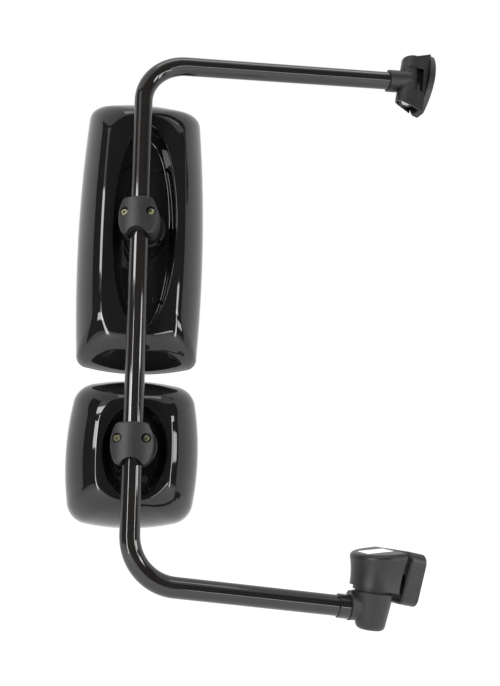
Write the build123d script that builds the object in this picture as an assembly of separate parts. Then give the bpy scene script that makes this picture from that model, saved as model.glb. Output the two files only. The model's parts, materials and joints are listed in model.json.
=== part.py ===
"""Right-hand truck towing mirror: a tall flat head and a short wide-angle head on a C-shaped tube.

Millimetres. +X points inboard, towards the truck. +Y points rearwards, the way the glass faces.
+Z points up along the vertical run of the tube. The origin is the centre of the base's mounting face.
The tube folds forwards and rearwards about an axis through both brackets. Each head is clamped to
the tube and swivels on a ball behind its clamp.
"""

from build123d import *
from math import cos, radians, sin, sqrt, tan
import os

os.makedirs("parts", exist_ok=True)

# Tube: one inch steel, bent twice
TUBE_R = 12.7
TUBE_WALL = 2.1
BEND_R = 63.5
ARM_HALF_SPAN = 353.1       # half the spacing of the two arms, measured at the tube's axis
UPPER_RISE = 2.86           # degrees that the upper arm climbs towards the truck
LOWER_DROP = 7.41           # degrees that the lower arm falls; it is square to the fold axis
LOWER_REACH = 304.0         # tube axis to fold axis, across, at the lower arm
HUB = Vector(-360.0, -26.0, 358.0)  # middle of the vertical run, from the base's mounting face

# Brackets on the truck's side
FACE_TURN = 12.0            # degrees that both mounting faces turn rearwards from square
FACE_TILT = 12.0            # degrees that both mounting faces tip inboard with height
SHAFT_GAP = 0.05            # radial running clearance of the pivots
BODY_GAP = 0.3              # clearance between faces of pieces that move past each other

# Lower bracket, in the fold frame: z along the fold axis, 0 at the lower arm's axis
BARREL_TOP = 20.0
BARREL_BOTTOM = -24.5
BARREL_TOP_R = 26.5
BARREL_BOTTOM_R = 17.5
FRICTION_R = 22.5
STUD_R = 8.0
STUD_TOP = 60.0
EAR_BOTTOM = 22.6
EAR_THICK = 12.0
EAR_R = 25.0
EAR_REACH = 47.0            # fold axis to the end of the ear's tongue, inside the pedestal's web
PEDESTAL_DEPTH = 24.0
PEDESTAL_TOP_W = 98.0
PEDESTAL_FOOT_W = 75.0
PEDESTAL_H = 66.0
PEDESTAL_CORNER = 12.0
PEDESTAL_WALL = 5.0
PEDESTAL_WEB = 10.0
BASE_BOLT_PCD = 54.0
BASE_BOLT_HOLE_R = 4.3
GROOVE_OUT = 3.0             # gasket groove's edges, in from the mounting face's edge
GROOVE_IN = 6.5
COVER_BOTTOM_R = 31.5
COVER_WAIST_R = 33.0
COVER_TOP_R = 47.0          # of the flare, where it would end without the roof
COVER_WALL = 2.8
COVER_LOW = 25.0
COVER_WAIST = 45.0
COVER_TALL = 82.0
COVER_BACK = 16.5           # fold axis to the cap's open back
ROOF_Z = 72.0
ROOF_RISE = 15.1            # degrees that the roof climbs towards the truck, from square to the cap
ROOF_ROLL = 2.2
ROOF_EDGE_R = 6.0
LABEL_W = 38.0
LABEL_D = 25.0
LABEL_X = -6.0
LABEL_THICK = 0.3

# Upper bracket, in a frame on the fold axis where the upper arm's axis meets it
KNUCKLE_R = 12.0
KNUCKLE_TOP = 33.0
KNUCKLE_BOTTOM = -36.0
GAP_TOP = 18.0
GAP_BOTTOM = -22.0
PIN_R = 6.0
TOP_FACE_REACH = 30.0
TOP_PLATE_HIGH = 51.0
TOP_PLATE_LOW = -47.0
TOP_PLATE_THICK = 9.0
TOP_PLATE_HALVES = (15.0, 26.0, 8.0)  # half widths at its top, its widest and its foot
TOP_BOLT_SPACING = 72.0
TOP_BOLT_HOLE_R = 3.3
TOP_BOLT_ROOM_R = 6.0        # clearance round the head of a top bolt
TOP_WEB = 5.0
ARM_SWING = 15.4            # how far past the fold axis the upper sleeve's side swings
TOP_COVER_R = 15.2
TOP_COVER_WALL = 2.4
TOP_COVER_HALF = 22.0       # half width where it meets the plate
TOP_CUT = (-42.0, 25.0, 7.4)  # lower cut: height at the fold axis, roll and pitch in degrees

# Clamps, in a frame on the tube's axis: y points from the tube to the ball
CLAMP_HALF = 26.5
CLAMP_FRONT = 22.0
CLAMP_CROWN_R = 40.0
CLAMP_BACK = 12.0
SPLIT_GAP = 1.5
LINER_R = 14.2
SCREW_X = 17.85
SCREW_RISE = 6.5
SCREW_R = 2.5
SCREW_SEAT = -9.5           # where the heads sit, in front of the tube's axis
SCREW_HEAD_R = 4.25
SCREW_HEAD = 4.5
SCREW_SOCKET = 4.0          # across flats
SCREW_BORE_R = 5.9
NUT_WIDE = 8.0              # across flats
NUT_THICK = 4.4
BALL_REACH = 34.0
BALL_R = 15.0
NECK_R = 8.0

# Ball sockets, in a frame at the ball's centre
SEAT_IN_R = BALL_R + BODY_GAP
SEAT_OUT_R = 18.0
CUP_R = SEAT_OUT_R + BODY_GAP
RING_R = 29.0
CUP_OUT_R = 26.0
RING_FRONT = -9.1
RING_BACK = 8.0
SEAT_OPEN = 55.0            # half angle of the seat's mouth, degrees

# Heads, in the ball's frame: y points to the glass
HOUSING_FRONT = -8.0
HOUSING_BACK = 52.0
HOUSING_WALL = 3.0
DOME_POWER = 1.5            # of the dome's curve; 2 is a plain ellipse, 1 a straight cone
WELL_FLOOR = 24.0
WELL_DRAFT = (7.0, 9.0)     # how much smaller the well is at its floor, across and up
BEZEL_DEPTH = 6.0
GLASS_THICK = 3.0
PLATE_THICK = 3.0
LENS_PROUD = 2.6            # how far the wide-angle glass bulges past its bezel

UPPER = dict(name="upper", z=112.0, clamp_yaw=-14.0, head_yaw=-2.7, roll=0.32,
             side=-4.9, rise=12.6, half=(90.6, 207.3), front=(50.5, 163.5),
             well=(43.5, 154.5), well_rise=6.0, bow=(7.9, 4.0), end_bow=(11.2, 2.6),
             corner=(16.5, 42.0), lens_r=None, tray_set=1.5, post=(18.0, 100.0))
LOWER = dict(name="lower", z=-189.0, clamp_yaw=-7.0, head_yaw=-1.0, roll=0.8,
             side=-1.6, rise=-3.5, half=(89.0, 99.3), front=(46.0, 64.5),
             well=(41.5, 60.5), well_rise=-4.8, bow=(9.9, 5.0), end_bow=(11.2, 4.0),
             corner=(31.0, 38.0), lens_r=700.0, tray_set=-4.0, post=(15.0, 35.0))


def save(node, shape, place=None):
    """Write one sub-part, moved to its place in the row frame."""
    if place is not None:
        shape = place * shape
    solids = shape.solids()
    body = solids[0] if len(solids) == 1 else Compound(children=list(solids))
    export_step(body, f"parts/{node}.step")


def at(x, y, z):
    return Location((x, y, z))


def upright(r, low, high, x=0.0, y=0.0):
    """Cylinder along z."""
    return at(x, y, (low + high) / 2) * Cylinder(r, high - low)


def along_y(r, near, far, x=0.0, z=0.0):
    """Cylinder along y."""
    return at(x, (near + far) / 2, z) * Rot(90, 0, 0) * Cylinder(r, far - near)


def ring(r_out, r_in, low, high):
    return upright(r_out, low, high) - upright(r_in, low - 1, high + 1)


def hexagon(across_flats, low, high):
    """Hexagonal prism along z."""
    face = RegularPolygon(across_flats / sqrt(3), 6)
    return at(0, 0, low) * extrude(face, high - low)


def wall_plane(y, z=0.0):
    """Plane square to y whose drawing axes are x and z."""
    return Plane(origin=(0, y, z), x_dir=(1, 0, 0), z_dir=(0, -1, 0))


def outline(half_w, half_h, corner, side_bow, end_bow):
    """Rectangle with bowed sides and rounded corners."""
    x, z = half_w - side_bow, half_h - end_bow
    sides = [
        ThreePointArc((x, -z), (half_w, 0), (x, z)),
        ThreePointArc((x, z), (0, half_h), (-x, z)),
        ThreePointArc((-x, z), (-half_w, 0), (-x, -z)),
        ThreePointArc((-x, -z), (0, -half_h), (x, -z)),
    ]
    face = make_face(sides)
    return fillet(face.vertices(), corner)


# ---------------------------------------------------------------- tube and its frames

HUB_PLACE = Location(HUB)
LOWER_PIVOT = HUB + Vector(LOWER_REACH, 0, -ARM_HALF_SPAN - LOWER_REACH * tan(radians(LOWER_DROP)))
FOLD = Location(LOWER_PIVOT, (0, LOWER_DROP, 0))


def upper_pivot_height():
    """Distance along the fold axis from the lower arm's axis to the upper arm's axis."""
    rise = tan(radians(UPPER_RISE))
    lean = tan(radians(LOWER_DROP))
    start = LOWER_PIVOT - HUB
    climb = (ARM_HALF_SPAN + rise * start.X - start.Z) / (1 - rise * lean)
    return climb / cos(radians(LOWER_DROP))


UPPER_HEIGHT = upper_pivot_height()
TOP = FOLD * at(0, 0, UPPER_HEIGHT)
UPPER_REACH = (TOP.position - HUB).X / cos(radians(UPPER_RISE))
TOP_SLEEVE = TOP * Location((0, 0, 0), (0, -(LOWER_DROP + UPPER_RISE), 0))


def facing(point):
    """Frame at a point, turned as both mounting faces are: x towards the truck, z up the face."""
    return Location(point, (0, FACE_TILT, 0)) * Rot(0, 0, FACE_TURN)


def tube():
    """The C-shaped tube, from inside the lower sleeve to inside the upper one."""
    drop, rise = radians(LOWER_DROP), radians(UPPER_RISE)
    low_run = LOWER_REACH / cos(drop) - 21
    high_run = UPPER_REACH - 15
    low_end = Vector(low_run * cos(drop), 0, -ARM_HALF_SPAN - low_run * sin(drop))
    high_end = Vector(high_run * cos(rise), 0, ARM_HALF_SPAN + high_run * sin(rise))
    corners = [low_end, (0, 0, -ARM_HALF_SPAN), (0, 0, ARM_HALF_SPAN), high_end]
    path = FilletPolyline(*corners, radius=BEND_R)
    start = Plane(origin=path @ 0, z_dir=path % 0)
    outside = sweep(start * Circle(TUBE_R), path)
    inside = sweep(start * Circle(TUBE_R - TUBE_WALL), path)
    save("arm_tube", outside - inside, HUB_PLACE)


# ---------------------------------------------------------------- elbows and pivots


def sleeve(r, outer_end, inner_end):
    """Plain cylinder along x, used for the sleeves that hold the tube."""
    return at((outer_end + inner_end) / 2, 0, 0) * Rot(0, 90, 0) * Cylinder(r, inner_end - outer_end)


def lower_elbow():
    """Tapered barrel under the base cover, with a saddle collar round the glossy sleeve."""
    height = BARREL_TOP - BARREL_BOTTOM
    barrel = at(0, 0, (BARREL_TOP + BARREL_BOTTOM) / 2) * Cone(BARREL_BOTTOM_R, BARREL_TOP_R, height)
    barrel = fillet(barrel.edges().sort_by(Axis.Z)[0], 8)
    collar = at(-19, 0, 2) * Rot(0, 90, 0) * Cone(18, 15.6, 22)
    body = barrel + (collar - upright(60, BARREL_TOP, 60))
    body -= sleeve(14.75, -60, -12)
    body -= upright(STUD_R, -14, 30)
    save("lower_elbow", body, FOLD)
    steel = sleeve(14.75, -45, -12) - sleeve(TUBE_R, -46, -21) - sleeve(11.0, -22, -11)
    steel -= upright(STUD_R, -20, 20)
    steel = chamfer(steel.edges().filter_by(GeomType.CIRCLE).sort_by(Axis.X)[:2], 0.6)
    steel -= at(-33, 0, -13.9) * Cylinder(2.5, 6)
    save("lower_sleeve", steel, FOLD)


def upper_elbow():
    """Sleeve with a cross barrel that turns between the knuckles of the top bracket."""
    barrel = upright(14.0, GAP_BOTTOM + BODY_GAP, GAP_TOP - BODY_GAP)
    arm = TOP.inverse() * TOP_SLEEVE * (sleeve(16.0, -33.5, 0))
    band = at(0, 0, (GAP_TOP + GAP_BOTTOM) / 2) * Box(120, 60, GAP_TOP - GAP_BOTTOM - 2 * BODY_GAP)
    body = barrel + (arm & band) + (arm - upright(24, -60, 60))
    hollow = TOP.inverse() * TOP_SLEEVE * sleeve(TUBE_R, -40, -15)
    body = body - hollow - upright(8.0, -40, 40)
    body -= TOP.inverse() * TOP_SLEEVE * (at(-25, 0, -14.5) * Cylinder(2.5, 7))
    save("upper_elbow", body, TOP)
    bush = ring(8.0, PIN_R + SHAFT_GAP, GAP_BOTTOM + BODY_GAP, GAP_TOP - BODY_GAP)
    save("upper_pivot_bush", bush, TOP)


def sleeve_screws():
    """One grub screw under each sleeve, tight against the tube."""
    low = FOLD * (at(-33, 0, -13.7) * Cylinder(2.5, 2.0))
    high = TOP_SLEEVE * (at(-25, 0, -14.4) * Cylinder(2.5, 3.2))
    save("sleeve_grub_screws", Compound(children=[low, high]))


def base_pivot():
    """Stud, disc springs and nut that hold the arm against the base bracket's ear."""
    ear_top = EAR_BOTTOM + EAR_THICK
    stud = upright(STUD_R, -14, STUD_TOP)
    stud = chamfer(stud.edges().filter_by(GeomType.CIRCLE).sort_by(Axis.Z)[-1], 1.2)
    save("pivot_stud", stud, FOLD)
    save("pivot_bush", ring(10.0, STUD_R + SHAFT_GAP, EAR_BOTTOM, ear_top), FOLD)
    save("friction_ring", ring(FRICTION_R, STUD_R + BODY_GAP, BARREL_TOP + BODY_GAP, EAR_BOTTOM), FOLD)
    washer_low = ear_top + BODY_GAP
    save("pivot_washer", ring(17.0, STUD_R, washer_low, washer_low + 2.5), FOLD)
    springs = []
    for i in range(3):
        low = washer_low + 2.5 + 4.0 * i
        inner = [(STUD_R, low + 4.0), (STUD_R, low + 2.0), (STUD_R + 1, low + 2.0)]
        face = make_face(Polyline(*inner, (15.0, low), (15.0, low + 1.6), close=True))
        springs.append(revolve(Plane.XZ * face, Axis.Z))
    save("pivot_disc_springs", Compound(children=springs), FOLD)
    nut_low = washer_low + 2.5 + 12.0
    nut = hexagon(24.0, nut_low, nut_low + 9) - upright(STUD_R, 0, 80)
    save("pivot_nut", nut, FOLD)


# ---------------------------------------------------------------- base bracket

BASE_FACE = facing((0, 0, 0))


def pedestal_block(depth, inset=0.0):
    """Rounded block behind the mounting face; x=0 is the mounting face."""
    top, foot, half = PEDESTAL_TOP_W / 2 - inset, PEDESTAL_FOOT_W / 2 - inset, PEDESTAL_H / 2 - inset
    face = make_face(Polyline((-foot, -half), (foot, -half), (top, half), (-top, half), close=True))
    face = fillet(face.vertices(), PEDESTAL_CORNER - inset)
    drawing = Plane(origin=(0, 0, 0), x_dir=(0, 1, 0), z_dir=(1, 0, 0))
    return extrude(drawing * face, -depth)


def bolt_places(pcd, count, start):
    """Places of a circle's holes on a mounting face."""
    for i in range(count):
        angle = radians(start + 360.0 * i / count)
        yield at(0, pcd / 2 * cos(angle), pcd / 2 * sin(angle))


def hole_through(place, r, near, far):
    """Hole along a mounting face's normal, between two depths behind the face."""
    return place * at(-(near + far) / 2, 0, 0) * Rot(0, 90, 0) * Cylinder(r, far - near)


def base_groove():
    """Loop just inside the mounting face's edge."""
    return pedestal_block(2.0, GROOVE_OUT) - pedestal_block(3.0, GROOVE_IN)


def base_bracket():
    """Cast bracket: a mounting face with a raised rim, and an ear that carries the fold pivot."""
    tray = pedestal_block(PEDESTAL_DEPTH)
    tray = fillet(tray.edges().filter_by(Plane.YZ).sort_by(Axis.X)[:8], 4.0)
    pocket = at(-PEDESTAL_WEB, 0, 0) * pedestal_block(PEDESTAL_DEPTH, PEDESTAL_WALL)
    flange = BASE_FACE * (tray - pocket - base_groove())
    back_to_row = FOLD * at(0, 0, EAR_BOTTOM)
    boss = back_to_row * upright(EAR_R, 0, EAR_THICK)
    turned = back_to_row * Rot(0, 0, FACE_TURN)
    tongue = turned * at(EAR_REACH / 2, 0, EAR_THICK / 2) * Box(EAR_REACH, 34, EAR_THICK)
    rib = turned * at(EAR_REACH - 11, 0, EAR_THICK + 4) * Box(22, 8, 14)
    limit = BASE_FACE * at(-100, 0, 0) * Box(200, 200, 200)
    ear = (boss + tongue + rib) & limit
    body = flange + ear
    body -= FOLD * upright(10.0, 0, 60)
    body -= FOLD * upright(BARREL_TOP_R + 1.5, -60, EAR_BOTTOM)
    for place in bolt_places(BASE_BOLT_PCD, 4, 45):
        body -= BASE_FACE * hole_through(place, BASE_BOLT_HOLE_R, -1, PEDESTAL_WEB + 1)
    save("base_bracket", body)


COVER_FRAME = facing(LOWER_PIVOT)
ROOF = at(0, 0, ROOF_Z) * Rot(ROOF_ROLL, -ROOF_RISE, 0)


def cap_profile(inset, low):
    """Upright section of the cap: narrow at its mouth, flared at its top."""
    foot, waist, head = COVER_BOTTOM_R - inset, COVER_WAIST_R - inset, COVER_TOP_R - inset
    edges = [
        Line((-foot, low), (foot, low)),
        ThreePointArc((foot, low), (waist, COVER_WAIST), (head, COVER_TALL)),
        Line((head, COVER_TALL), (-head, COVER_TALL)),
        ThreePointArc((-head, COVER_TALL), (-waist, COVER_WAIST), (-foot, low)),
    ]
    return make_face(edges)


def cap_block(inset, low):
    """The cap's body under its roof: round towards the tube, straight towards its open back."""
    face = cap_profile(inset, low)
    half = face & Pos(100, 0) * Rectangle(200, 400)
    tall = revolve(Plane.XZ * half, Axis.Z) + extrude(Plane.YZ * face, 2 * COVER_BACK)
    return tall & ROOF * at(0, 0, -100 - 2 * inset) * Box(300, 300, 200)


def base_cover():
    """Moulded cap with a sloping roof, and the blank label stuck on it."""
    outer = cap_block(0, COVER_LOW)
    roof_edges = outer.faces().filter_by(GeomType.PLANE).sort_by(SortBy.AREA)[-1].edges()
    outer = fillet(roof_edges.filter_by(lambda e: e.center().X < 2 * COVER_BACK - 1), ROOF_EDGE_R)
    limit = at(COVER_BACK - 100, 0, 0) * Box(200, 200, 400)
    body = COVER_FRAME * ((outer - cap_block(COVER_WALL, COVER_LOW - 1)) & limit)
    way_out = at(30, 0, EAR_BOTTOM + 2) * Box(60, 36, 2 * EAR_THICK + 16)
    save("base_cover", body - FOLD * Rot(0, 0, FACE_TURN) * way_out)
    label = ROOF * at(LABEL_X, 0, LABEL_THICK / 2) * Box(LABEL_W, LABEL_D, LABEL_THICK)
    save("blank_label", COVER_FRAME * label)


def base_gasket():
    """Rubber gasket in the pedestal's groove, flush with the mounting face."""
    save("base_gasket", BASE_FACE * base_groove())


# ---------------------------------------------------------------- top bracket

TOP_FACE = facing(TOP.position) * at(TOP_FACE_REACH, 0, 0)
TOP_TURNED = TOP * Rot(0, 0, FACE_TURN)


def top_plate_face(inset=0.0):
    """Shield-shaped outline with bowed sides, drawn on the mounting face."""
    head, wide, foot = [half - inset for half in TOP_PLATE_HALVES]
    high, low = TOP_PLATE_HIGH - inset, TOP_PLATE_LOW + inset
    sides = [
        ThreePointArc((-head, high), (0, high + 2.0), (head, high)),
        ThreePointArc((head, high), (wide, -4), (foot, low)),
        Line((foot, low), (-foot, low)),
        ThreePointArc((-foot, low), (-wide, -4), (-head, high)),
    ]
    face = make_face(sides)
    drawing = Plane(origin=(0, 0, 0), x_dir=(0, 1, 0), z_dir=(1, 0, 0))
    return drawing * fillet(face.vertices(), 3 - inset / 3)


def top_bracket():
    """Cast plate with a rim, and two knuckles that hold the upper pivot pin."""
    plate = extrude(top_plate_face(), -TOP_PLATE_THICK)
    pocket = at(-TOP_WEB, 0, 0) * extrude(top_plate_face(3.5), -TOP_PLATE_THICK)
    body = TOP_FACE * (plate - pocket)
    keep = TOP_FACE * at(-100, 0, 0) * Box(200, 200, 300)
    low = upright(KNUCKLE_R, KNUCKLE_BOTTOM, GAP_BOTTOM)
    high = upright(KNUCKLE_R, GAP_TOP, KNUCKLE_TOP)
    back = at(50 + 19, 0, -6) * Box(100, 10, KNUCKLE_TOP - KNUCKLE_BOTTOM)
    low_web = at(30, 0, (KNUCKLE_BOTTOM + GAP_BOTTOM) / 2) * Box(60, 10, GAP_BOTTOM - KNUCKLE_BOTTOM)
    high_web = at(30, 0, (KNUCKLE_TOP + GAP_TOP) / 2) * Box(60, 10, KNUCKLE_TOP - GAP_TOP)
    arms = (TOP_TURNED * (low + high + back + low_web + high_web)) & keep
    body = body + arms - TOP_FACE * top_groove()
    body -= TOP * upright(PIN_R, -60, 60)
    body -= TOP * upright(9.5, KNUCKLE_BOTTOM - 5, KNUCKLE_BOTTOM + 6)
    body -= TOP * upright(9.5, KNUCKLE_TOP - 6, KNUCKLE_TOP + 10)
    for side in (-1, 1):
        z = (TOP_PLATE_HIGH + TOP_PLATE_LOW) / 2 + side * TOP_BOLT_SPACING / 2
        body -= TOP_FACE * hole_through(at(0, 0, z), TOP_BOLT_HOLE_R, -1, TOP_WEB + 1)
        body -= TOP_FACE * hole_through(at(0, 0, z), TOP_BOLT_ROOM_R, TOP_WEB, TOP_PLATE_THICK + 6)
    save("top_bracket", body)
    save("top_gasket", TOP_FACE * top_groove())


def top_groove():
    """Loop just inside the upper mounting face's edge."""
    return extrude(top_plate_face(GROOVE_OUT), -1.6) - extrude(top_plate_face(GROOVE_IN), -3)


def top_cover_block(inset):
    """Wedge that widens from the knuckles to the plate, with a climbing roof and a slanted foot."""
    r, wide, end = TOP_COVER_R - inset, TOP_COVER_HALF - inset, TOP_FACE_REACH
    plan = make_face([
        ThreePointArc((0, r), (-r, 0), (0, -r)),
        Line((0, -r), (end, -wide)),
        Line((end, -wide), (end, wide)),
        Line((end, wide), (0, r)),
    ])
    prism = at(0, 0, -70) * extrude(plan, 140)
    front, knee, back = KNUCKLE_TOP + 2 - inset, KNUCKLE_TOP + 6 - inset, TOP_PLATE_HIGH - 2 - inset
    roof = [(-30, front), (0, knee), (20, back), (60, back)]
    side = Polyline((-30, -70), *roof, (60, -70), close=True)
    height, roll, pitch = TOP_CUT
    above = at(0, 0, height + inset) * Rot(roll, pitch, 0) * at(0, 0, 100) * Box(300, 300, 200)
    return prism & extrude(Plane.XZ * make_face(side), 60, both=True) & above


def top_cover():
    """Moulded cover over the knuckles, open below and cut away where the arm swings."""
    hollow = top_cover_block(TOP_COVER_WALL) + at(0, 0, -8) * top_cover_block(TOP_COVER_WALL)
    shell = top_cover_block(0) - hollow
    shell = facing(TOP.position) * shell
    band = at(ARM_SWING - 60, 0, (GAP_TOP + GAP_BOTTOM) / 2) * Box(120, 80, GAP_TOP - GAP_BOTTOM)
    shell -= TOP_TURNED * band
    shell &= TOP_FACE * at(-100 - TOP_PLATE_THICK - BODY_GAP, 0, 0) * Box(200, 200, 300)
    save("top_cover", shell - TOP * upright(KNUCKLE_R + 0.2, -60, 60))


def top_pivot():
    """Pin through both knuckles, with a hexagon head below and a nut on top."""
    pin = upright(PIN_R, KNUCKLE_BOTTOM + 5.5, KNUCKLE_TOP)
    head = at(0, 0, KNUCKLE_BOTTOM + 0.5) * hexagon(16.0, 0, 5.5)
    save("top_pivot_pin", pin + head, TOP)
    nut = hexagon(16.0, KNUCKLE_TOP - 6, KNUCKLE_TOP) - upright(PIN_R, 0, 60)
    save("top_pivot_nut", nut, TOP)


# ---------------------------------------------------------------- clamps


def clamp_place(spec):
    """Frame on the tube's axis at the clamp, turned so that y points to the ball."""
    return Location(HUB + Vector(0, 0, spec["z"])) * Location((0, 0, 0), (0, 0, spec["clamp_yaw"]))


def ball_place(spec):
    """Frame at the ball's centre, turned with the head."""
    ball = clamp_place(spec) * at(0, BALL_REACH, 0)
    return Location(ball.position) * Rot(0, 0, spec["head_yaw"]) * Rot(0, spec["roll"], 0)


def clamp_block(near, far):
    """Barrel-sided block between two distances from the tube's axis."""
    face = outline(CLAMP_HALF, CLAMP_HALF, 6.5, 7.5, 1.0)
    return extrude(wall_plane(far) * face, far - near)


def clamp_holes():
    """Both screw holes, their counterbores in front and the nut pockets behind."""
    holes = []
    for side in (-1, 1):
        x = side * SCREW_X
        holes.append(along_y(SCREW_R, -40, 40, x, SCREW_RISE))
        holes.append(along_y(SCREW_BORE_R, -40, SCREW_SEAT, x, SCREW_RISE))
        holes.append(nut_place(x) * hexagon(NUT_WIDE, 0, 2 * NUT_THICK))
    return holes


def nut_place(x):
    """Frame of a clamp nut, with z pointing to the ball."""
    return at(x, CLAMP_BACK - NUT_THICK - 0.1, SCREW_RISE) * Rot(-90, 0, 0)


def clamp(spec):
    """Cap, saddle with the ball, rubber liner, two socket screws and their nuts."""
    name, place = spec["name"], clamp_place(spec)
    crown = upright(CLAMP_CROWN_R, -40, 40, y=CLAMP_CROWN_R - CLAMP_FRONT)
    cap = clamp_block(-CLAMP_FRONT - 2, -SPLIT_GAP / 2) & crown
    front_edges = cap.edges().filter_by(lambda e: e.center().Y < -SPLIT_GAP)
    cap = fillet(front_edges, 2.5)
    cap -= upright(LINER_R, -40, 40)
    cap -= along_y(15.0, -40, 0.5, z=-CLAMP_HALF - 5)
    back = clamp_block(SPLIT_GAP / 2, CLAMP_BACK)
    back = fillet(back.edges().group_by(Axis.Y)[-1], 2.0)
    neck = at(0, CLAMP_BACK + 3, 0) * Rot(-90, 0, 0) * Cone(17.0, 9.5, 6)
    saddle = back + neck + along_y(NECK_R, CLAMP_BACK, BALL_REACH) + at(0, BALL_REACH, 0) * Sphere(BALL_R)
    saddle -= upright(LINER_R, -40, 40)
    for hole in clamp_holes():
        cap -= hole
        saddle -= hole
    save(f"{name}_clamp_cap", cap, place)
    save(f"{name}_clamp_saddle", saddle, place)
    liner = ring(LINER_R, TUBE_R + SHAFT_GAP, -23, 23) - at(-14, 0, 0) * Box(6, 3, 60)
    liner -= along_y(15.0, -40, 0.5, z=-CLAMP_HALF - 5)
    save(f"{name}_clamp_liner", liner, place)
    screws, nuts = [], []
    for side in (-1, 1):
        x = side * SCREW_X
        top = SCREW_SEAT - SCREW_HEAD
        shank = along_y(SCREW_R, SCREW_SEAT, CLAMP_BACK + 1.5, x, SCREW_RISE)
        head = along_y(SCREW_HEAD_R, top, SCREW_SEAT, x, SCREW_RISE)
        drive = at(x, top - 0.1, SCREW_RISE) * Rot(-90, 0, 0) * hexagon(SCREW_SOCKET, 0, 2.7)
        screws.append(place * (shank + head - drive))
        nut = nut_place(x) * hexagon(NUT_WIDE, 0, NUT_THICK)
        nuts.append(place * (nut - along_y(SCREW_R, 0, 30, x, SCREW_RISE)))
    save(f"{name}_clamp_screws", Compound(children=screws))
    save(f"{name}_clamp_nuts", Compound(children=nuts))


# ---------------------------------------------------------------- ball sockets


def mouth(angle, reach=40.0):
    """Cone round -y with its point at the ball's centre: the open side of a cup."""
    r = reach * tan(radians(angle))
    return at(0, -reach / 2, 0) * Rot(90, 0, 0) * Cone(0.01, r, reach)


def ball_seat(spec):
    """Nylon seat in two halves, between the ball and the cup."""
    name, place = spec["name"], ball_place(spec)
    shell = Sphere(SEAT_OUT_R) - Sphere(SEAT_IN_R) - mouth(SEAT_OPEN)
    split = 0.2
    front = shell & at(0, -25 - split / 2, 0) * Box(60, 50, 60)
    rear = shell & at(0, 25 + split / 2, 0) * Box(60, 50, 60)
    save(f"{name}_seat_front", front, place)
    save(f"{name}_seat_rear", rear, place)


def socket(spec):
    """Cast cup behind the ball and the notched ring that screws on to its front."""
    name, place = spec["name"], ball_place(spec)
    cup = along_y(CUP_OUT_R, RING_BACK, WELL_FLOOR)
    cup -= Sphere(CUP_R)
    for x, z in screw_spots():
        cup -= along_y(2.5, WELL_FLOOR - 9, WELL_FLOOR, x, z)
    save(f"{name}_socket_cup", cup, place)
    lock = along_y(RING_R, RING_FRONT, RING_BACK) - Sphere(CUP_R)
    lock -= along_y(CUP_R * 0.87, RING_FRONT - 1, RING_FRONT + 3)
    lock -= along_y(CUP_R, 0, RING_BACK + 1)
    front = lock.edges().filter_by(GeomType.CIRCLE).sort_by(Axis.Y)[:2]
    lock = fillet(front.sort_by(lambda e: e.radius)[-1], 2.5)
    for i in range(4):
        notch = at(RING_R, 0, 0) * Box(7, 40, 7)
        depth = along_y(60, RING_FRONT - 5, RING_BACK - 5)
        lock -= Rot(0, 45 + 90 * i, 0) * (at(0, RING_FRONT, 0) * notch & depth)
    save(f"{name}_socket_ring", lock, place)


def screw_spots():
    """Places of the four screws that hold the cup, square about the ball."""
    return [(x, z) for x in (-13.5, 13.5) for z in (-13.5, 13.5)]


# ---------------------------------------------------------------- heads


def head_plane(spec, y):
    """Plane square to y, centred on the head, which sits off the ball's centre."""
    return Plane(origin=(spec["side"], y, spec["rise"]), x_dir=(1, 0, 0), z_dir=(0, -1, 0))


def section(spec, y, inset=0.0):
    """Outline of the housing at a distance behind the ball, on a dome that starts at the well."""
    t = (HOUSING_BACK - y) / (HOUSING_BACK - HOUSING_FRONT + 0.001)
    s = (1 - t ** DOME_POWER) ** (1 / DOME_POWER)
    front_w, front_h = spec["front"]
    half_w, half_h = spec["half"]
    bow_rim, bow_front = spec["bow"]
    end_rim, end_front = spec["end_bow"]
    corner_rim, corner_front = spec["corner"]
    w = front_w + (half_w - front_w) * s - inset
    h = front_h + (half_h - front_h) * s - inset
    corner = corner_front + (corner_rim - corner_front) * s - inset
    bow = bow_front + (bow_rim - bow_front) * s
    end_bow = end_front + (end_rim - end_front) * s
    return outline(w, h, corner, bow, end_bow)


def housing_solid(spec, inset):
    """Dome of the housing, closed front and back; inset makes its inner surface."""
    steps = [0.0, 0.06, 0.2, 0.42, 0.7, 1.0]
    depth = HOUSING_BACK - HOUSING_FRONT
    faces = []
    for step in steps:
        y = HOUSING_FRONT + depth * step
        shift = inset * (1 - step)
        faces.append(head_plane(spec, y + shift) * section(spec, y, inset))
    solid = loft(faces)
    if inset:
        rim = head_plane(spec, HOUSING_BACK + 1) * section(spec, HOUSING_BACK, inset)
        solid += extrude(rim, 1.0)
    return solid


def well(spec, wall):
    """Oval recess for the clamp and ball; wall makes its outside."""
    half_w, half_h = spec["well"]
    near, far = HOUSING_FRONT - 2, WELL_FLOOR + wall
    mouth_face = Ellipse(half_w + wall, half_h + wall)
    floor_face = Ellipse(half_w - WELL_DRAFT[0] + wall, half_h - WELL_DRAFT[1] + wall)
    rise = spec["well_rise"]
    return loft([wall_plane(near, rise) * mouth_face, wall_plane(far, rise) * floor_face])


def housing(spec):
    """Glossy shell: a dome with an oval well in its front and an open back."""
    name, place = spec["name"], ball_place(spec)
    outer = housing_solid(spec, 0)
    shell = outer - housing_solid(spec, HOUSING_WALL)
    tub = well(spec, HOUSING_WALL) & outer
    body = shell + tub - well(spec, 0)
    for x, z in screw_spots() + post_spots(spec):
        body -= along_y(2.5, WELL_FLOOR - 1, WELL_FLOOR + HOUSING_WALL + 1, x, z)
    save(f"{name}_housing", body, place)


def post_spots(spec):
    """Places of the four posts that carry the glass tray."""
    x, z = spec["post"]
    return [(i * x, spec["well_rise"] + j * z) for i in (-1, 1) for j in (-1, 1)]


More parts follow.
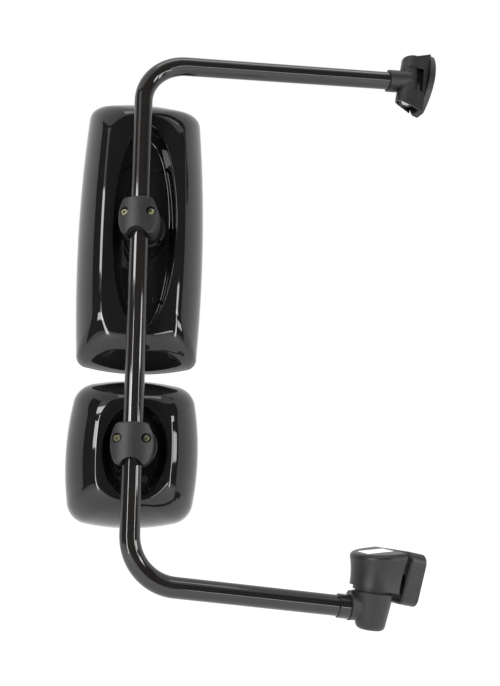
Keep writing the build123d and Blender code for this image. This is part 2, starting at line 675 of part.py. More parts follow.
def rim_face(spec, inset, y):
    return head_plane(spec, y) * section(spec, HOUSING_BACK, inset)


def rim_slab(spec, inset, low, high):
    """Slab with the rim's outline, inset, between two distances behind the ball."""
    return extrude(rim_face(spec, inset, high), high - low)


def glass_unit(spec):
    """Bezel, glass, tray with posts, support plate and their screws."""
    name, place = spec["name"], ball_place(spec)
    back = HOUSING_BACK + BEZEL_DEPTH
    glass_back = back - 1.5
    tray_back = HOUSING_BACK + spec["tray_set"]
    bezel = rim_slab(spec, 0, HOUSING_BACK, back)
    bezel = fillet(bezel.edges().group_by(Axis.Y)[-1], 2.5)
    bezel -= rim_slab(spec, 6.0, HOUSING_BACK - 1, glass_back)
    bezel -= rim_slab(spec, 8.5, HOUSING_BACK - 1, back + 1)
    lip = rim_slab(spec, 3.8, HOUSING_BACK - 4, HOUSING_BACK)
    lip -= rim_slab(spec, 6.0, HOUSING_BACK - 5, HOUSING_BACK + 1)
    save(f"{name}_bezel", bezel + lip, place)
    glass = rim_slab(spec, 6.3, tray_back, glass_back)
    if spec["lens_r"]:
        apex = back + LENS_PROUD
        centre = at(spec["side"], apex - spec["lens_r"], spec["rise"])
        shell = centre * Sphere(spec["lens_r"]) - centre * Sphere(spec["lens_r"] - GLASS_THICK)
        glass = rim_slab(spec, 9.0, tray_back - 5, apex + 1) & shell
    save(f"{name}_glass", glass, place)
    plate_low = WELL_FLOOR + HOUSING_WALL
    plate_high = plate_low + PLATE_THICK
    tray = rim_slab(spec, 6.3, tray_back - 2.5, tray_back)
    for x, z in post_spots(spec):
        tray += along_y(5.0, plate_high, tray_back - 1, x, z)
        tray -= along_y(2.5, plate_high - 1, plate_high + 13, x, z)
    save(f"{name}_glass_tray", tray, place)
    half_w, half_h = spec["post"][0] + 9, spec["post"][1] + 10
    plate = wall_plane(plate_high, spec["well_rise"]) * RectangleRounded(2 * half_w, 2 * half_h, 6)
    plate = extrude(plate, PLATE_THICK)
    for x, z in screw_spots() + post_spots(spec):
        plate -= along_y(2.5, plate_low - 1, plate_high + 1, x, z)
    save(f"{name}_support_plate", plate, place)
    post_screws = []
    for x, z in post_spots(spec):
        shank = along_y(2.5, WELL_FLOOR, plate_high + 12, x, z)
        post_screws.append(place * (shank + along_y(4.5, WELL_FLOOR - 3, WELL_FLOOR, x, z)))
    save(f"{name}_post_screws", Compound(children=post_screws))
    cup_screws = []
    for x, z in screw_spots():
        shank = along_y(2.5, WELL_FLOOR - 8, plate_high, x, z)
        cup_screws.append(place * (shank + along_y(4.5, plate_high, plate_high + 3, x, z)))
    save(f"{name}_cup_screws", Compound(children=cup_screws))


if __name__ == "__main__":
    tube()
    lower_elbow()
    upper_elbow()
    sleeve_screws()
    base_pivot()
    base_bracket()
    base_gasket()
    base_cover()
    top_bracket()
    top_cover()
    top_pivot()
    for head_spec in (UPPER, LOWER):
        clamp(head_spec)
        ball_seat(head_spec)
        socket(head_spec)
        housing(head_spec)
        glass_unit(head_spec)
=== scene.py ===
import json
from math import acos, atan2, cos, hypot, pi, radians, sin, sqrt, tan

import bmesh
import bpy
from mathutils import Matrix, Vector


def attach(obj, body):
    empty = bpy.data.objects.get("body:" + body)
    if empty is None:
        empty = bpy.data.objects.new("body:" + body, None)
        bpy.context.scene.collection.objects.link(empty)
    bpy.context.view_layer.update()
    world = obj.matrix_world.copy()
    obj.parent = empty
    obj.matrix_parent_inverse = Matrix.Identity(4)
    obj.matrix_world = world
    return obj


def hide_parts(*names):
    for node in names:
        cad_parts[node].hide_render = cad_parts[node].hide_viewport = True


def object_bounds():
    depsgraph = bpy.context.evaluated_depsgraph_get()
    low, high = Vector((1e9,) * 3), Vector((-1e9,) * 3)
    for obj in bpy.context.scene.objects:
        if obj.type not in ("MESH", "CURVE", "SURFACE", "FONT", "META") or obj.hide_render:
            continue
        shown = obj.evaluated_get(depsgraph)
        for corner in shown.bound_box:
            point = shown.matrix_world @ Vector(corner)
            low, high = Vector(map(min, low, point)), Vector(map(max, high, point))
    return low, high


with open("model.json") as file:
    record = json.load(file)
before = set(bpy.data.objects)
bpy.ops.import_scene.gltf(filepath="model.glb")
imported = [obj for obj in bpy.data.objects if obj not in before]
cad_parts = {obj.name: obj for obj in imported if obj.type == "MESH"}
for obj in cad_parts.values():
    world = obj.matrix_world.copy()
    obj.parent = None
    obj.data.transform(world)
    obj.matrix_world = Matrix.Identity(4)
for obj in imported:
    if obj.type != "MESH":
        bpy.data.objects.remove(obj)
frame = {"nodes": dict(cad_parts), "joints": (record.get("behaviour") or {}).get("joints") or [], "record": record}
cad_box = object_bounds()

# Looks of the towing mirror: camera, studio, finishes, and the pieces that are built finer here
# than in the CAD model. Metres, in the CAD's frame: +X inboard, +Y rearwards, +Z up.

MM = 0.001
NODES = frame["nodes"]
JOINTS = {joint["name"]: joint for joint in frame["joints"]}

# Heads, in millimetres in the ball's frame, where y points to the glass
HOUSING_FRONT = -8.0
HOUSING_BACK = 52.0
HOUSING_WALL = 3.0
DOME_POWER = 1.5
WELL_FLOOR = 24.0
WELL_DRAFT = (7.0, 9.0)
HEADS = {
    "upper": dict(
        half=(90.6, 207.3), front=(50.5, 163.5), side=-4.9, rise=12.6,
        well=(43.5, 154.5), well_rise=6.0,
        bow=(7.9, 4.0), end_bow=(11.2, 2.6), corner=(16.5, 42.0),
    ),
    "lower": dict(
        half=(89.0, 99.3), front=(46.0, 64.5), side=-1.6, rise=-3.5,
        well=(41.5, 60.5), well_rise=-4.8,
        bow=(9.9, 5.0), end_bow=(11.2, 4.0), corner=(31.0, 38.0),
    ),
}
AROUND = 224            # points round each head
FINE_STEPS = 1440       # points from which those are chosen
DOME_STEPS = 16         # rings from a dome's front to its rim
HALVINGS = 40           # steps of the search for the outline
WALL_RINGS = (16.0, 10.0, 4.0, -2.0, -5.0, -6.2)
FLOOR_EDGE = ((0.0, 5.0), (0.4, 2.2), (1.6, 0.5), (3.6, 0.0))       # forward, inward
WELL_LIP = ((1.2, 0.2), (0.45, 0.7), (0.1, 1.5), (0.0, 2.1))        # rearward, outward
LIP_OUT = WELL_LIP[-1][1]

# Tube, in millimetres from the middle of its vertical run
TUBE_R = 12.7
TUBE_WALL = 2.1
BEND_R = 63.5
ARM_HALF_SPAN = 353.1
UPPER_RISE = 2.86
LOWER_DROP = 7.41
LOWER_RUN = 285.6
UPPER_RUN = 388.1
TUBE_SIDES = 56
BEND_STEPS = 24
POST_MIDDLE = 0.358     # height of that middle, in metres


# ---------------------------------------------------------------- materials


class Finish:
    """A Principled material with short calls for the textures that drive it."""

    def __init__(self, name, base, rough, metallic=0.0, **sockets):
        self.material = bpy.data.materials.new(name)
        self.material.use_nodes = True
        self.tree = self.material.node_tree
        self.shader = self.tree.nodes["Principled BSDF"]
        self.set("Base Color", (*base, 1.0))
        self.set("Roughness", rough)
        self.set("Metallic", metallic)
        for socket, value in sockets.items():
            self.set(socket.replace("_", " "), value)
        self.coords = self.tree.nodes.new("ShaderNodeTexCoord").outputs["Object"]
        self.normal = None

    def set(self, socket, value):
        self.shader.inputs[socket].default_value = value

    def link(self, source, target):
        self.tree.links.new(source, target)

    def stretched(self, scale):
        """Object coordinates scaled differently along each axis."""
        node = self.tree.nodes.new("ShaderNodeMapping")
        node.inputs["Scale"].default_value = scale
        self.link(self.coords, node.inputs["Vector"])
        return node.outputs["Vector"]

    def noise(self, scale, detail=3.0, rough=0.5, coords=None):
        node = self.tree.nodes.new("ShaderNodeTexNoise")
        node.inputs["Scale"].default_value = scale
        node.inputs["Detail"].default_value = detail
        node.inputs["Roughness"].default_value = rough
        self.link(coords or self.coords, node.inputs["Vector"])
        return node.outputs["Fac"]

    def cells(self, scale):
        node = self.tree.nodes.new("ShaderNodeTexVoronoi")
        node.inputs["Scale"].default_value = scale
        self.link(self.coords, node.inputs["Vector"])
        return node.outputs["Distance"]

    def remap(self, source, low, high, to_low, to_high):
        node = self.tree.nodes.new("ShaderNodeMapRange")
        limits = {"From Min": low, "From Max": high, "To Min": to_low, "To Max": to_high}
        for socket, value in limits.items():
            node.inputs[socket].default_value = value
        self.link(source, node.inputs["Value"])
        return node.outputs["Result"]

    def maths(self, operation, a, b):
        node = self.tree.nodes.new("ShaderNodeMath")
        node.operation = operation
        for i, value in enumerate((a, b)):
            if isinstance(value, (int, float)):
                node.inputs[i].default_value = value
            else:
                self.link(value, node.inputs[i])
        return node.outputs["Value"]

    def mix(self, factor, first, second):
        """Colour between two; each is a tuple or an output."""
        node = self.tree.nodes.new("ShaderNodeMix")
        node.data_type = "RGBA"
        self.link(factor, node.inputs[0])
        for i, colour in ((6, first), (7, second)):
            if isinstance(colour, tuple):
                node.inputs[i].default_value = (*colour, 1.0)
            else:
                self.link(colour, node.inputs[i])
        return node.outputs[2]

    def colour(self, source):
        self.link(source, self.shader.inputs["Base Color"])

    def roughness(self, source):
        self.link(source, self.shader.inputs["Roughness"])

    def soft_edges(self, radius):
        """Rounds sharp edges in shading and returns a mask of those edges."""
        bevel = self.tree.nodes.new("ShaderNodeBevel")
        bevel.samples = 6
        bevel.inputs["Radius"].default_value = radius
        self.normal = bevel.outputs["Normal"]
        true_normal = self.tree.nodes.new("ShaderNodeNewGeometry").outputs["Normal"]
        node = self.tree.nodes.new("ShaderNodeVectorMath")
        node.operation = "DOT_PRODUCT"
        self.link(self.normal, node.inputs[0])
        self.link(true_normal, node.inputs[1])
        return self.remap(node.outputs["Value"], 0.80, 0.995, 1.0, 0.0)

    def bump(self, height, distance, strength=1.0):
        """Adds a bump on top of the ones before it."""
        node = self.tree.nodes.new("ShaderNodeBump")
        node.inputs["Strength"].default_value = strength
        node.inputs["Distance"].default_value = distance
        self.link(height, node.inputs["Height"])
        if self.normal is not None:
            self.link(self.normal, node.inputs["Normal"])
        self.normal = node.outputs["Normal"]

    def done(self):
        if self.normal is not None:
            self.link(self.normal, self.shader.inputs["Normal"])
        return self.material


def gloss_plastic():
    """High-gloss moulded shell: near black, with faint handling haze and moulding waves."""
    f = Finish("gloss_black_plastic", (0.005, 0.005, 0.0055), 0.045,
               Specular_IOR_Level=0.4)
    haze = f.noise(9.0, 4.0, 0.6)
    f.colour(f.mix(haze, (0.0042, 0.0042, 0.0048), (0.0075, 0.0075, 0.008)))
    hair = f.noise(160.0, 6.0, 0.7, f.stretched((1.0, 1.0, 0.12)))
    broad = f.remap(haze, 0.35, 0.7, 0.03, 0.06)
    f.roughness(f.maths("ADD", broad, f.remap(hair, 0.58, 0.75, 0.0, 0.05)))
    f.bump(f.noise(11.0, 1.0), 0.0006, 0.10)
    f.bump(f.noise(1400.0, 2.0), 0.00002, 0.15)
    return f.done()


def gloss_paint():
    """Powder-coated tube: warm black with orange peel."""
    f = Finish("gloss_black_paint", (0.008, 0.0074, 0.007), 0.07)
    cloud = f.noise(22.0, 4.0)
    f.colour(f.mix(cloud, (0.0066, 0.0060, 0.0057), (0.0105, 0.0095, 0.009)))
    f.roughness(f.remap(cloud, 0.3, 0.7, 0.05, 0.09))
    f.bump(f.noise(330.0, 2.0), 0.00008, 0.06)
    f.bump(f.noise(1500.0, 3.0), 0.00003, 0.12)
    return f.done()


def textured(name, dark, light, rough, grain, edge_light):
    """Fine-grained black moulding or coated casting with slightly worn edges."""
    f = Finish(name, dark, rough, Specular_IOR_Level=0.3)
    worn = f.soft_edges(0.0006)
    cloud = f.noise(38.0, 5.0, 0.6)
    speck = f.noise(grain, 3.0, 0.7)
    tone = f.mix(f.remap(cloud, 0.3, 0.7, 0.0, 1.0), dark, light)
    tone = f.mix(f.remap(speck, 0.45, 0.75, 0.0, 0.35), tone, edge_light)
    wear = f.maths("MULTIPLY", worn, f.remap(f.noise(150.0, 4.0), 0.4, 0.65, 0.1, 0.6))
    f.colour(f.mix(wear, tone, edge_light))
    f.roughness(f.remap(speck, 0.3, 0.7, rough - 0.07, rough + 0.09))
    f.bump(speck, 0.00022, 0.55)
    f.bump(f.cells(grain * 0.8), 0.00010, 0.35)
    return f.done()


def label_paper():
    """White paper with a fine fibre."""
    f = Finish("white_label", (0.86, 0.87, 0.89), 0.45)
    fibre = f.noise(420.0, 5.0, 0.7)
    aged = f.remap(fibre, 0.3, 0.8, 0.0, 1.0)
    f.colour(f.mix(aged, (0.90, 0.91, 0.93), (0.78, 0.79, 0.81)))
    f.roughness(f.remap(fibre, 0.3, 0.7, 0.35, 0.55))
    f.bump(fibre, 0.00005, 0.3)
    return f.done()


def rubber():
    """Black rubber with a pale bloom."""
    f = Finish("black_rubber", (0.014, 0.014, 0.015), 0.8)
    bloom = f.noise(60.0, 5.0, 0.65)
    pale = f.remap(bloom, 0.35, 0.75, 0.0, 1.0)
    f.colour(f.mix(pale, (0.011, 0.011, 0.012), (0.034, 0.034, 0.036)))
    f.roughness(f.remap(bloom, 0.3, 0.7, 0.7, 0.9))
    f.bump(f.noise(2200.0, 3.0), 0.00008, 0.4)
    return f.done()


def nylon():
    """Natural nylon, a little translucent."""
    f = Finish("nylon", (0.7, 0.68, 0.6), 0.42, Subsurface_Weight=0.15)
    f.shader.inputs["Subsurface Radius"].default_value = (0.002, 0.0018, 0.0014)
    cloud = f.noise(80.0, 4.0)
    f.colour(f.mix(cloud, (0.72, 0.70, 0.62), (0.60, 0.57, 0.48)))
    f.roughness(f.remap(cloud, 0.3, 0.7, 0.35, 0.5))
    f.bump(f.noise(1200.0, 2.0), 0.00005, 0.3)
    return f.done()


def metal(name, first, second, rough):
    """Plated, oxided or bare metal with a fine grain and tarnish spots."""
    f = Finish(name, first, rough, 1.0)
    worn = f.soft_edges(0.0003)
    tarnish = f.noise(90.0, 5.0, 0.65)
    tone = f.mix(f.remap(tarnish, 0.35, 0.7, 0.0, 1.0), first, second)
    bright = tuple(min(1.0, 1.5 * c + 0.05) for c in first)
    f.colour(f.mix(f.maths("MULTIPLY", worn, 0.5), tone, bright))
    grain = f.noise(700.0, 4.0, 0.6)
    fine = f.remap(grain, 0.3, 0.7, rough - 0.06, rough + 0.06)
    f.roughness(f.maths("ADD", fine, f.remap(tarnish, 0.4, 0.7, 0.0, 0.1)))
    f.bump(grain, 0.00005, 0.3)
    return f.done()


def mirror():
    """Silvered glass: a clean reflection under a clear face, with the faintest polish marks."""
    f = Finish("mirror_glass", (0.86, 0.88, 0.88), 0.012, 1.0,
               Coat_Weight=1.0, Coat_Roughness=0.01)
    film = f.noise(14.0, 5.0, 0.65)
    f.colour(f.mix(film, (0.84, 0.865, 0.865), (0.90, 0.915, 0.91)))
    f.roughness(f.remap(film, 0.45, 0.8, 0.008, 0.035))
    return f.done()


# Dark tone, light tone, roughness, grain, tone of worn edges
TEXTURED = {
    "matte_black_plastic": (
        (0.010, 0.010, 0.011), (0.015, 0.015, 0.016), 0.52, 1500.0, (0.035, 0.035, 0.037)),
    "textured_black_plastic": (
        (0.007, 0.007, 0.0075), (0.011, 0.011, 0.0118), 0.36, 1300.0, (0.038, 0.038, 0.040)),
    "textured_black_casting": (
        (0.0075, 0.0075, 0.0082), (0.0115, 0.0115, 0.0125), 0.40, 1700.0, (0.042, 0.042, 0.045)),
}
# First tone, second tone, roughness
METALS = {
    "grey_casting": ((0.035, 0.035, 0.037), (0.022, 0.022, 0.024), 0.45),
    "bronze": ((0.46, 0.30, 0.13), (0.30, 0.19, 0.08), 0.32),
    "plain_steel": ((0.52, 0.53, 0.54), (0.38, 0.39, 0.40), 0.30),
    "black_steel": ((0.045, 0.045, 0.048), (0.03, 0.03, 0.032), 0.35),
    "yellow_zinc": ((0.24, 0.235, 0.15), (0.15, 0.15, 0.09), 0.30),
}


def make_finishes():
    """All finishes by the name of their slot."""
    finishes = {
        "gloss_black_plastic": gloss_plastic(),
        "gloss_black_paint": gloss_paint(),
        "white_label": label_paper(),
        "black_rubber": rubber(),
        "nylon": nylon(),
        "mirror_glass": mirror(),
    }
    for name, values in TEXTURED.items():
        finishes[name] = textured(name, *values)
    for name, values in METALS.items():
        finishes[name] = metal(name, *values)
    return finishes


FINISHES = make_finishes()
SLOT_OF = {part["node"]: part["material_slot"] for part in frame["record"]["subparts"]}


def finish_nodes():
    """Every CAD node gets the procedural finish of its own slot."""
    for name, node in NODES.items():
        for holder in node.material_slots:
            holder.material = FINISHES[SLOT_OF[name]]


def piece(name, verts, faces, slot, body, *replaced):
    """A smooth mesh in the row frame, with its finish, body and the CAD nodes it stands for."""
    mesh = bpy.data.meshes.new(name)
    mesh.from_pydata(verts, [], faces)
    mesh.validate()
    work = bmesh.new()
    work.from_mesh(mesh)
    bmesh.ops.recalc_face_normals(work, faces=work.faces)
    work.to_mesh(mesh)
    work.free()
    mesh.shade_smooth()
    item = bpy.data.objects.new(name, mesh)
    bpy.context.scene.collection.objects.link(item)
    mesh.materials.append(FINISHES[slot])
    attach(item, body)
    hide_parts(*replaced)
    return item


def rings_to_mesh(rings, start=None, end=None):
    """Vertices and faces of a skin over rings; start and end are points that close its ends."""
    verts = [point for ring in rings for point in ring]
    count = len(rings[0])
    faces = []
    for i in range(len(rings) - 1):
        for j in range(count):
            k = (j + 1) % count
            low, high = i * count, (i + 1) * count
            faces.append((low + j, low + k, high + k, high + j))
    for cap, base in ((start, 0), (end, (len(rings) - 1) * count)):
        if cap is not None:
            verts.append(cap)
            centre = len(verts) - 1
            faces += [(base + j, base + (j + 1) % count, centre) for j in range(count)]
    return verts, faces


def subdivide(item):
    """Halves the mesh once, smoothly."""
    modifier = item.modifiers.new("smooth", "SUBSURF")
    modifier.levels = 1
    modifier.render_levels = 1


# ---------------------------------------------------------------- heads


def bowed_radius(direction, half_w, half_h, corner, side_bow, end_bow):
    """Distance from the centre to a bowed rectangle with rounded corners, along a direction."""
    x, z = half_w - side_bow, half_h - end_bow
    side_r = (z * z + side_bow * side_bow) / (2 * side_bow)
    end_r = (x * x + end_bow * end_bow) / (2 * end_bow)
    side_c, end_c = half_w - side_r, half_h - end_r
    knee = circles_meet(side_c, side_r - corner, end_c, end_r - corner)
    low, high = 0.0, 2 * hypot(half_w, half_h)
    for _ in range(HALVINGS):
        middle = (low + high) / 2
        px, pz = abs(direction[0]) * middle, abs(direction[1]) * middle
        if outside_bowed(px, pz, knee, corner, side_c, side_r, end_c, end_r):
            high = middle
        else:
            low = middle
    return low


def circles_meet(side_c, side_r, end_c, end_r):
    """Where a circle centred on x meets one centred on z, in the first quadrant."""
    d = hypot(side_c, end_c)
    a = (side_r ** 2 - end_r ** 2 + d * d) / (2 * d)
    h = sqrt(max(0.0, side_r ** 2 - a * a))
    ux, uz = -side_c / d, end_c / d
    candidates = [(side_c + a * ux - s * h * uz, a * uz + s * h * ux) for s in (-1, 1)]
    return max(candidates, key=lambda p: p[0] + p[1])


def outside_bowed(px, pz, knee, corner, side_c, side_r, end_c, end_r):
    """Whether a point of the first quadrant lies outside that outline."""
    angle = atan2(pz - knee[1], px - knee[0])
    side_angle = atan2(knee[1], knee[0] - side_c)
    end_angle = atan2(knee[1] - end_c, knee[0])
    if side_angle <= angle <= end_angle:
        return hypot(px - knee[0], pz - knee[1]) > corner
    return hypot(px - side_c, pz) > side_r or hypot(px, pz - end_c) > end_r


def even_directions(spec):
    """Unit directions that meet the head's rim at even steps along it."""
    half_w, half_h = spec["half"]
    rim = (half_w, half_h, spec["corner"][0], spec["bow"][0], spec["end_bow"][0])
    points = []
    for i in range(FINE_STEPS + 1):
        t = 2 * pi * i / FINE_STEPS
        dx, dz = half_w * cos(t), half_h * sin(t)
        length = hypot(dx, dz)
        direction = (dx / length, dz / length)
        r = bowed_radius(direction, *rim)
        points.append((direction[0] * r, direction[1] * r))
    run = [0.0]
    for a, b in zip(points, points[1:]):
        run.append(run[-1] + hypot(b[0] - a[0], b[1] - a[1]))
    chosen, i = [], 0
    for j in range(AROUND):
        goal = run[-1] * j / AROUND
        while run[i + 1] < goal:
            i += 1
        part = (goal - run[i]) / (run[i + 1] - run[i])
        x = points[i][0] + part * (points[i + 1][0] - points[i][0])
        z = points[i][1] + part * (points[i + 1][1] - points[i][1])
        chosen.append((x / hypot(x, z), z / hypot(x, z)))
    return chosen


def head_frame(name):
    """Ball centre, and the head's own x, y and z directions."""
    centre = Vector(JOINTS[f"{name}_head_pan"]["pos_m"])
    across = Vector(JOINTS[f"{name}_head_tilt"]["axis"]).normalized()
    rear = Vector((0, 0, 1)).cross(across).normalized()
    return centre, across, rear, across.cross(rear)


def housing_rings(spec, directions):
    """Rings (y, radii) over the closed shell: the well, the dome to its rim, and back inside."""
    half, front, well = spec["half"], spec["front"], spec["well"]
    off_x, off_z = -spec["side"], spec["well_rise"] - spec["rise"]

    def oval(a, b):
        """Radii from the head's centre to an ellipse centred on the ball."""
        radii = []
        for x, z in directions:
            square = (x / a) ** 2 + (z / b) ** 2
            half_b = x * off_x / a ** 2 + z * off_z / b ** 2
            rest = (off_x / a) ** 2 + (off_z / b) ** 2 - 1
            radii.append((half_b + sqrt(half_b ** 2 - square * rest)) / square)
        return radii

    def dome(turn, inset):
        """Radii of the dome's outline, from its front (turn 0) to its rim (a quarter turn)."""
        s = (1 - cos(turn) ** DOME_POWER) ** (1 / DOME_POWER)

        def between(name):
            at_rim, at_front = spec[name]
            return at_front + (at_rim - at_front) * s

        w = front[0] + (half[0] - front[0]) * s - inset
        h = front[1] + (half[1] - front[1]) * s - inset
        outline = (w, h, between("corner") - inset, between("bow"), between("end_bow"))
        return [bowed_radius(d, *outline) for d in directions]

    def wall(y, out=0.0):
        """Radii of the well's drafted wall."""
        part = (y - HOUSING_FRONT + 2) / (WELL_FLOOR - HOUSING_FRONT + 2)
        return oval(well[0] - WELL_DRAFT[0] * part + out, well[1] - WELL_DRAFT[1] * part + out)

    def blend(first, second, part):
        return [a + (b - a) * part for a, b in zip(first, second)]

    well_floor = wall(WELL_FLOOR)
    centre = [0.0] * AROUND
    rings = [(WELL_FLOOR, blend(centre, well_floor, part)) for part in (0.12, 0.35, 0.6, 0.8)]
    for drop, back in FLOOR_EDGE:
        rings.append((WELL_FLOOR - drop, [r - back for r in wall(WELL_FLOOR - drop)]))
    rings += [(y, wall(y)) for y in WALL_RINGS]
    mouth = wall(HOUSING_FRONT)
    for drop, out in WELL_LIP:
        rings.append((HOUSING_FRONT + drop, [r + out for r in mouth]))
    rings.append((HOUSING_FRONT, blend([r + LIP_OUT for r in mouth], dome(0.0, 0.0), 0.6)))

    depth = HOUSING_BACK - HOUSING_FRONT
    for i in range(DOME_STEPS + 1):
        turn = pi / 2 * i / DOME_STEPS
        rings.append((HOUSING_BACK - depth * cos(turn), dome(turn, 0.0)))
    rim = dome(pi / 2, 0.0)
    rings.append((HOUSING_BACK, [r - 0.35 for r in rim]))
    rings.append((HOUSING_BACK, [r - HOUSING_WALL + 0.3 for r in rim]))

    inner_front = HOUSING_FRONT + HOUSING_WALL
    inner_depth = HOUSING_BACK - inner_front
    for i in range(DOME_STEPS, -1, -2):
        turn = pi / 2 * i / DOME_STEPS
        rings.append((HOUSING_BACK - inner_depth * cos(turn), dome(turn, HOUSING_WALL)))
    back = WELL_FLOOR + HOUSING_WALL
    rings += [(y, wall(y, HOUSING_WALL)) for y in (inner_front, 8.0, 20.0, back - 0.4)]
    inner_floor = wall(back, HOUSING_WALL)
    rings += [(back, blend(centre, inner_floor, part)) for part in (0.98, 0.6, 0.2)]
    return rings


def housing(name):
    """A head's shell, with its well and its rim."""
    spec = HEADS[name]
    directions = even_directions(spec)
    centre, across, rear, up = head_frame(name)

    def place(x, y, z):
        return centre + MM * ((x + spec["side"]) * across + y * rear + (z + spec["rise"]) * up)

    rings = [
        [place(d[0] * r, y, d[1] * r) for d, r in zip(directions, radii)]
        for y, radii in housing_rings(spec, directions)
    ]
    start, end = place(0, WELL_FLOOR, 0), place(0, WELL_FLOOR + HOUSING_WALL, 0)
    subdivide(piece(f"{name}_shell", *rings_to_mesh(rings, start, end),
                    "gloss_black_plastic", f"{name}_head", f"{name}_housing"))


# ---------------------------------------------------------------- tube


def tube_path():
    """Points and tangents along the tube's axis, in the plane of the arm."""
    drop, rise = radians(LOWER_DROP), radians(UPPER_RISE)
    low = Vector((0, -ARM_HALF_SPAN))
    high = Vector((0, ARM_HALF_SPAN))
    start = low + LOWER_RUN * Vector((cos(drop), -sin(drop)))
    finish = high + UPPER_RUN * Vector((cos(rise), sin(rise)))
    points = [start]
    for before, corner, after in ((start, low, high), (low, high, finish)):
        into, out = (corner - before).normalized(), (after - corner).normalized()
        turn = acos(max(-1.0, min(1.0, into.dot(out))))
        reach = BEND_R * tan(turn / 2)
        first = corner - into * reach
        side = (out - into * into.dot(out)).normalized()
        hub = first + side * BEND_R
        for i in range(BEND_STEPS + 1):
            angle = turn * i / BEND_STEPS
            points.append(hub - side * BEND_R * cos(angle) + into * BEND_R * sin(angle))
    points.append(finish)
    return points


def tube():
    """The bent tube with its wall and open ends."""
    path = tube_path()
    post = Vector(JOINTS["upper_clamp_turn"]["pos_m"])
    hub = Vector((post.x, post.y, POST_MIDDLE))
    rings = {TUBE_R: [], TUBE_R - TUBE_WALL: []}
    for i, point in enumerate(path):
        before, after = path[max(i - 1, 0)], path[min(i + 1, len(path) - 1)]
        along = (after - before).normalized()
        side = Vector((-along.y, along.x))
        for r, made in rings.items():
            made.append([
                hub + MM * Vector((
                    point.x + side.x * r * cos(a),
                    r * sin(a),
                    point.y + side.y * r * cos(a),
                ))
                for a in (2 * pi * j / TUBE_SIDES for j in range(TUBE_SIDES))
            ])
    outer, inner = rings.values()
    loop = outer + inner[::-1]
    verts, faces = rings_to_mesh(loop)
    count, last = TUBE_SIDES, (len(loop) - 1) * TUBE_SIDES
    faces += [(last + j, last + (j + 1) % count, (j + 1) % count, j) for j in range(count)]
    item = piece("bent_tube", verts, faces, "gloss_black_paint", "arm", "arm_tube")
    item.data.set_sharp_from_angle(angle=radians(50))


# ---------------------------------------------------------------- studio

TARGET = Vector((-0.17, 0.0, 0.364))
CAMERA_PLACE = (-0.38763, -0.91783, 0.08465)
CAMERA_RIGHT = (0.98093, -0.19422, -0.00740)
CAMERA_AHEAD = (0.19045, 0.95292, 0.23594)
FLOOR_DROP = 0.34
FLOOR_HALF = 14.0
FLOOR_GLOW = 0.12       # lifts the floor to the white behind it
WHITE = (1.0, 1.0, 1.0, 1.0)
# Name, azimuth in degrees, height, width, length, power, and distance from the target
SOFT_BOXES = (
    ("left_strip", -40, 0.05, 0.17, 1.7, 15, 1.9),
    ("left_window", -50, 1.40, 0.80, 1.0, 3.5, 1.9),
    ("left_low_box", -50, 0.47, 0.80, 0.26, 9, 1.9),
    ("left_high_box", -50, 1.17, 0.80, 0.38, 12, 1.9),
    ("right_strip", 44, 0.05, 0.15, 1.6, 12, 1.9),
    ("right_low_box", 60, 0.35, 0.70, 0.30, 7, 1.9),
    ("right_high_box", 50, 0.84, 0.50, 0.30, 6, 1.9),
    ("low_strip", 19, -0.33, 1.45, 0.09, 6, 2.55),
    ("top_box", 5, 2.3, 1.4, 0.6, 8, 0.7),
)


def camera():
    """Camera low in front of the mirror and a little outboard, tipped up."""
    data = bpy.data.cameras.new("camera")
    data.sensor_fit = "HORIZONTAL"
    data.sensor_width = 36.0
    data.lens = 50.4
    data.clip_start = 0.02
    item = bpy.data.objects.new("camera", data)
    bpy.context.scene.collection.objects.link(item)
    right = Vector(CAMERA_RIGHT).normalized()
    ahead = Vector(CAMERA_AHEAD).normalized()
    up = right.cross(ahead).normalized()
    right = ahead.cross(up)
    turned = Matrix((right, up, -ahead)).transposed().to_4x4()
    item.matrix_world = Matrix.Translation(CAMERA_PLACE) @ turned
    bpy.context.scene.camera = item


def soft_box(name, azimuth, height, width, tall, power, reach):
    """Area light round the object; azimuth 0 is in front of it, 90 to the right."""
    data = bpy.data.lights.new(name, "AREA")
    data.shape = "RECTANGLE"
    data.size, data.size_y = width, tall
    data.energy = power
    item = bpy.data.objects.new(name, data)
    bpy.context.scene.collection.objects.link(item)
    a = radians(azimuth)
    place = Vector((TARGET.x + reach * sin(a), -reach * cos(a), height))
    item.location = place
    item.rotation_euler = (TARGET - place).to_track_quat("-Z", "Y").to_euler()


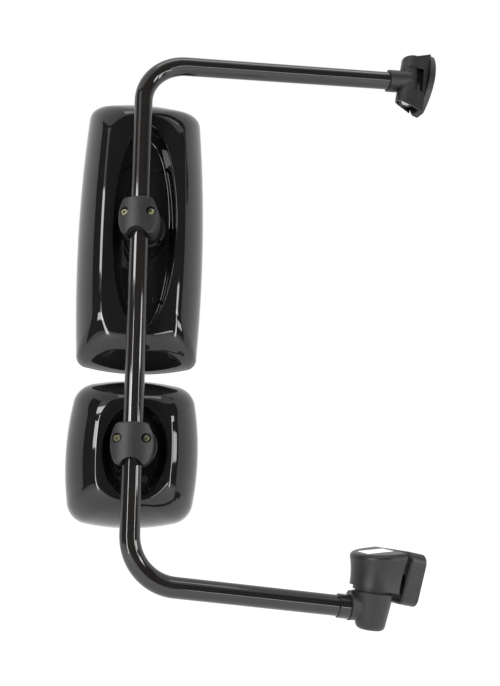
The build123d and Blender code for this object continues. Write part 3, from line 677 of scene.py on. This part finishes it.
def flat_material(name, colour):
    """Matt stage material."""
    f = Finish(name, colour, 0.9)
    grain = f.noise(6.0, 3.0)
    f.colour(f.mix(grain, colour, tuple(0.985 * c for c in colour)))
    return f.done()


def dark_flag():
    """Arc of black cloth round the front of the object, seen only in reflections."""
    reach, low, high, spread, steps = 2.7, -0.75, 2.9, 86.0, 32
    verts, faces = [], []
    for i in range(steps + 1):
        a = radians(-8 - spread + 2 * spread * i / steps)
        for z in (low, high):
            verts.append((TARGET.x + reach * sin(a), -reach * cos(a), z))
    for i in range(steps):
        faces.append((2 * i, 2 * i + 1, 2 * i + 3, 2 * i + 2))
    mesh = bpy.data.meshes.new("dark_flag")
    mesh.from_pydata(verts, [], faces)
    item = bpy.data.objects.new("dark_flag", mesh)
    bpy.context.scene.collection.objects.link(item)
    mesh.materials.append(flat_material("black_cloth", (0.004, 0.004, 0.004)))
    for kind in ("camera", "diffuse", "shadow", "transmission"):
        setattr(item, f"visible_{kind}", False)


def floor():
    """Plain pale floor, lifted to the white of the background by a little light of its own."""
    level = cad_box[0][2] - FLOOR_DROP
    mesh = bpy.data.meshes.new("floor")
    corners = ((-1, -1), (1, -1), (1, 1), (-1, 1))
    mesh.from_pydata([(FLOOR_HALF * x, FLOOR_HALF * y, level) for x, y in corners],
                     [], [(0, 1, 2, 3)])
    item = bpy.data.objects.new("floor", mesh)
    bpy.context.scene.collection.objects.link(item)
    pale = flat_material("pale_floor", (0.96, 0.96, 0.96))
    shader = pale.node_tree.nodes["Principled BSDF"]
    shader.inputs["Emission Color"].default_value = WHITE
    shader.inputs["Emission Strength"].default_value = FLOOR_GLOW
    mesh.materials.append(pale)


def studio():
    """White surroundings, the lights, the flag and the floor."""
    world = bpy.data.worlds.new("white_studio")
    bpy.context.scene.world = world
    world.use_nodes = True
    background = world.node_tree.nodes["Background"]
    background.inputs["Color"].default_value = WHITE
    background.inputs["Strength"].default_value = 1.0
    bpy.context.scene.view_settings.view_transform = "Standard"
    for values in SOFT_BOXES:
        soft_box(*values)
    dark_flag()
    floor()


# ---------------------------------------------------------------- scene

camera()
studio()
finish_nodes()
for head in HEADS:
    housing(head)
tube()
